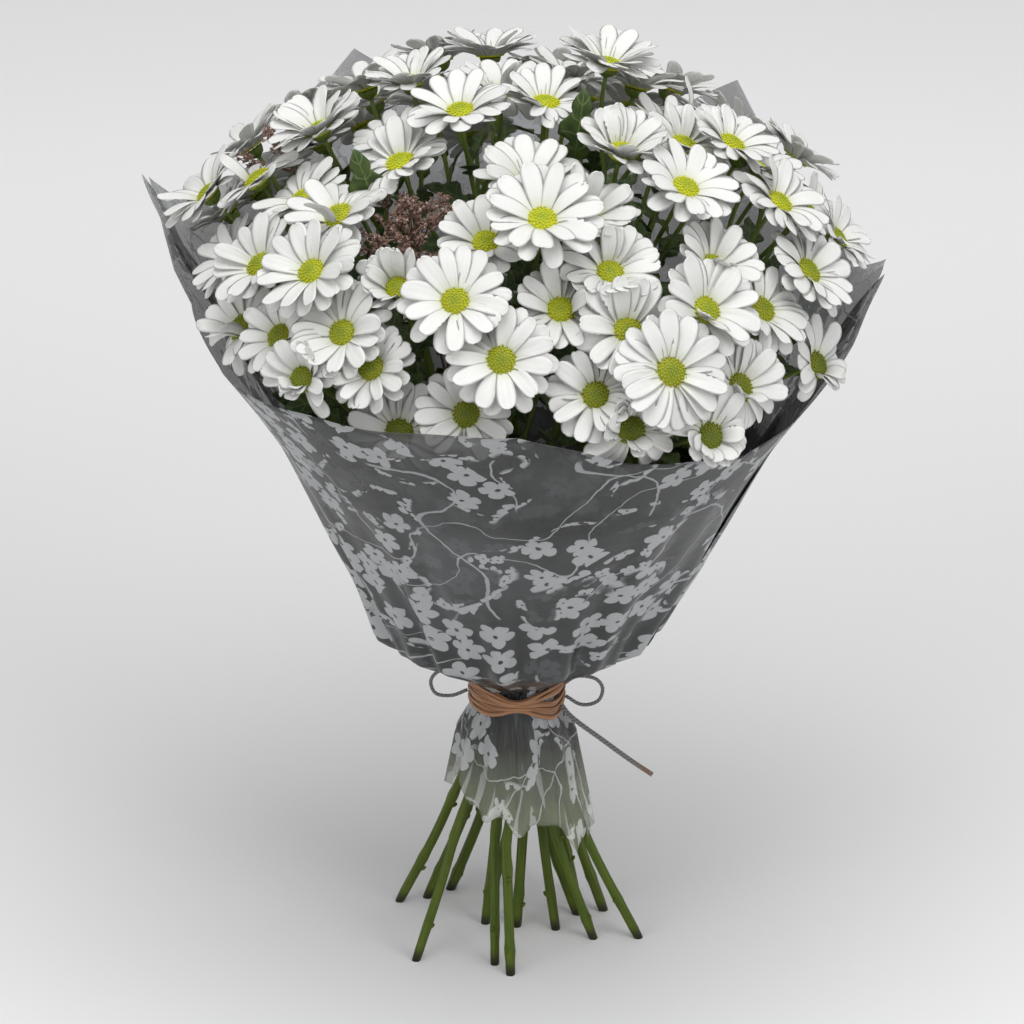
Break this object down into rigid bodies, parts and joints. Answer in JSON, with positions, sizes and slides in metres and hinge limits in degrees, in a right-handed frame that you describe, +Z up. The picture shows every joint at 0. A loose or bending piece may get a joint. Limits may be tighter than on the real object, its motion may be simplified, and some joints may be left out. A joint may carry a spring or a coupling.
{
  "type": "bunch of spray chrysanthemums",
  "caption": "Hand-tied bunch of white daisy-shaped chrysanthemums in blossom-printed film, bound with raffia and a corded bow; it stands on its splayed stem ends.",
  "frame": {"origin": "middle of the innermost stem's cut end, on the level of all the cut ends on which the bunch stands", "axes": "+Z up along the bunch, -Y towards the front, where the wrap's front sheet and the bow are seen, +X to the viewer's right"},
  "size_m": [0.4354, 0.4747, 0.5981],
  "materials": {
    "petals": "soft matte white petals round a yellow-green disc",
    "greenery": "satin green stems, stalks, calyxes and leaves",
    "dried_buds": "dry matte brown buds and twigs",
    "wrap_film": "translucent dark grey film with a light grey blossom and vine print",
    "raffia": "coarse natural brown fibre",
    "cord": "matte twisted grey cord"
  },
  "bodies": {
    "root": {"bow_loop_left": "cord", "bow_loop_right": "cord", "dried_sprig_1": "dried_buds", "dried_sprig_2": "dried_buds", "dried_sprig_3": "dried_buds", "film_back": "wrap_film", "film_front": "wrap_film", "heads_01": "petals", "heads_02": "petals", "heads_03": "petals", "heads_04": "petals", "heads_05": "petals", "heads_06": "petals", "heads_07": "petals", "heads_08": "petals", "heads_09": "petals", "heads_10": "petals", "heads_11": "petals", "heads_12": "petals", "heads_13": "petals", "heads_14": "petals", "heads_15": "petals", "heads_16": "petals", "heads_17": "petals", "heads_18": "petals", "heads_19": "petals", "heads_20": "petals", "heads_21": "petals", "heads_22": "petals", "heads_23": "petals", "heads_24": "petals", "heads_25": "petals", "heads_26": "petals", "heads_27": "petals", "heads_28": "petals", "heads_29": "petals", "heads_30": "petals", "heads_31": "petals", "heads_32": "petals", "heads_33": "petals", "heads_34": "petals", "loose_end": "cord", "raffia_band": "raffia", "spray_01": "greenery", "spray_02": "greenery", "spray_03": "greenery", "spray_04": "greenery", "spray_05": "greenery", "spray_06": "greenery", "spray_07": "greenery", "spray_08": "greenery", "spray_09": "greenery", "spray_10": "greenery", "spray_11": "greenery", "spray_12": "greenery", "spray_13": "greenery", "spray_14": "greenery", "spray_15": "greenery"}
  },
  "joints": []
}
